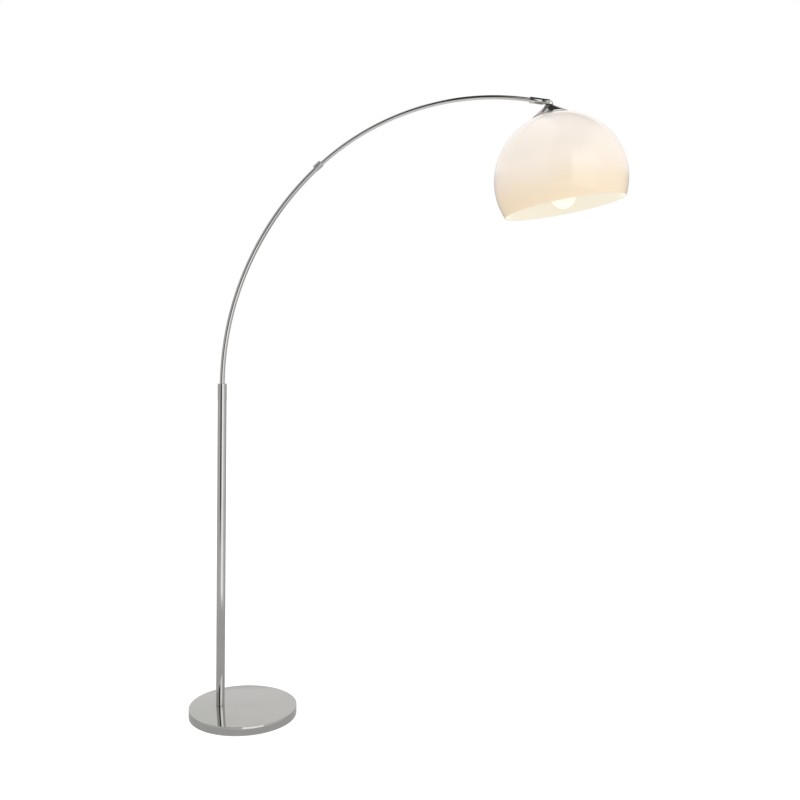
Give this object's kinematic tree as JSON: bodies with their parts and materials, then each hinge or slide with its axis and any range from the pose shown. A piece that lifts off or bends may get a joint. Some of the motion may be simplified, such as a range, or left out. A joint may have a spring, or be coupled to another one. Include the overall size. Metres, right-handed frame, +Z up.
{
  "type": "arc floor lamp",
  "caption": "Arc floor lamp: weighted round chrome base, off-centre pole, two-piece bowed chrome arm that swivels in the pole, and an opal dome shade that tilts at the tip.",
  "frame": {"origin": "centre of the round base, on the floor (underside of the felt pad)", "axes": "+Z up; +X from the base towards the shade, in the plane of the arm; +Y away from the viewer, to the object's back"},
  "size_m": [1.0807, 0.3296, 1.5731],
  "materials": {
    "chrome": "mirror-bright chrome plate",
    "satin_chrome": "satin, turned",
    "black_chrome": "dark chrome plate",
    "zinc_steel": "zinc plated, dull",
    "nickel": "nickel plated",
    "brass": "plain",
    "cast_iron": "rough as cast, painted black",
    "felt": "matt pressed felt",
    "rubber": "matt",
    "nylon": "satin",
    "black_plastic": "semi-gloss moulding",
    "lead_sheath": "satin flexible sheath",
    "clear_lead": "clear flexible sheath over copper",
    "opal_acrylic": "glossy opal, lit from inside",
    "bulb_glass": "frosted white, lit"
  },
  "bodies": {
    "stand": {"base_cover": "chrome", "base_weight": "cast_iron", "base_pad": "felt", "base_stud": "zinc_steel", "base_washer": "zinc_steel", "base_nut": "zinc_steel", "cable_gland": "rubber", "pole_foot_plug": "zinc_steel", "pole_tube": "chrome", "pole_cap": "chrome", "swivel_bush": "nylon", "bush_screw": "zinc_steel", "lead_in_pole": "lead_sheath"},
    "arm": {"arc_tube_lower": "chrome", "stop_ring": "zinc_steel", "arm_collar": "satin_chrome", "collar_screw_lower": "zinc_steel", "collar_screw_upper": "zinc_steel", "arc_tube_upper": "chrome", "head_sleeve": "chrome", "sleeve_screw": "zinc_steel", "head_fork": "chrome", "tilt_screw": "zinc_steel", "tilt_washer": "zinc_steel", "tilt_nut": "zinc_steel", "lead_in_arm": "lead_sheath", "lead_in_head": "clear_lead"},
    "head": {"shade_knuckle": "black_chrome", "shade_cap": "chrome", "shade": "opal_acrylic", "clamp_disc": "zinc_steel", "clamp_nut": "zinc_steel", "stem_tube": "zinc_steel", "stem_sleeve": "chrome", "holder_dome": "black_plastic", "holder_skirt": "black_plastic", "holder_core": "nylon", "screw_shell": "brass", "centre_contact": "brass", "terminal_screw_1": "brass", "terminal_screw_2": "brass", "bulb_cap": "nickel", "bulb_insulator": "black_plastic", "bulb_contact": "brass", "bulb_glass": "bulb_glass"}
  },
  "joints": [
    {"name": "arc_swivel", "type": "hinge", "parent": "stand", "child": "arm", "pos_m": [-0.0586, 0, 0.785], "axis": [0, 0, 1], "range_deg": [-90, 90]},
    {"name": "shade_tilt", "type": "hinge", "parent": "arm", "child": "head", "pos_m": [0.7441, 0, 1.55628], "axis": [0, 1, 0], "range_deg": [-40, 25], "deforming": ["lead_in_head"]}
  ]
}
